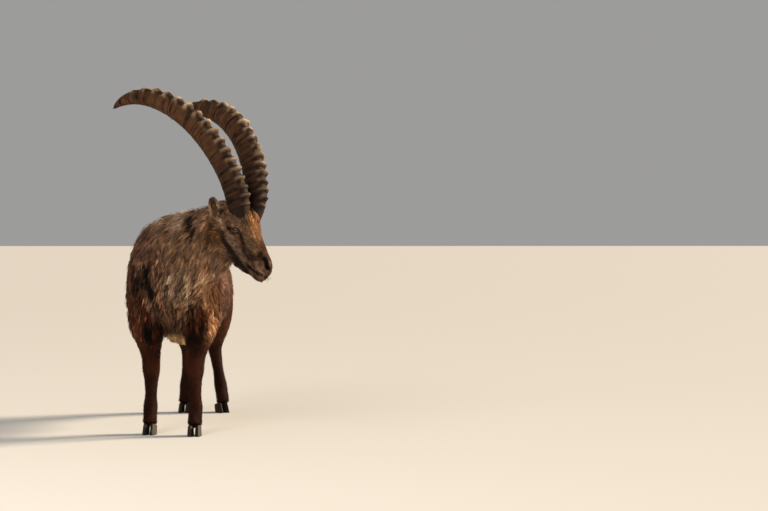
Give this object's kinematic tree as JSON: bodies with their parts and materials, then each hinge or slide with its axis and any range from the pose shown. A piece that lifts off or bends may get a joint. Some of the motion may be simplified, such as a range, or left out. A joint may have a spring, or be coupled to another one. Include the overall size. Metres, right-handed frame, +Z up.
{
  "type": "alpine ibex, adult male, standing",
  "caption": "Life-size still model of a standing adult male alpine ibex with a shaggy moulting coat and long ridged horns swept back, head turned to its left.",
  "frame": {"origin": "middle of the underside of the whole model's box, on the floor between the feet", "axes": "+Z up, -Y the way the body faces, +X to the animal's own left; the head is turned towards +X"},
  "size_m": [0.712, 1.4588, 1.4679],
  "materials": {
    "body_coat": "warm brown summer coat, part moulted, cream under the belly",
    "neck_coat": "long, pale, faded winter hair with dark brown patches",
    "leg_coat": "short, flat, dark reddish brown hair",
    "face_coat": "very short greyish brown hair, darker down the front and round the mouth",
    "horn": "ridged, weathered horn, paler where the ridges are worn",
    "hoof": "dark grey horn, scuffed at the rim",
    "eye": "wet amber eye with a level dark pupil"
  },
  "bodies": {
    "root": {"head": "face_coat", "ear_left": "face_coat", "ear_right": "face_coat", "eye_left": "eye", "eye_right": "eye", "horn_left": "horn", "horn_right": "horn", "neck": "neck_coat", "trunk": "body_coat", "tail": "body_coat", "fore_leg_left": "leg_coat", "fore_leg_right": "leg_coat", "hind_leg_left": "leg_coat", "hind_leg_right": "leg_coat", "hoof_fore_left_a": "hoof", "hoof_fore_left_b": "hoof", "hoof_fore_right_a": "hoof", "hoof_fore_right_b": "hoof", "hoof_hind_left_a": "hoof", "hoof_hind_left_b": "hoof", "hoof_hind_right_a": "hoof", "hoof_hind_right_b": "hoof"}
  },
  "joints": []
}
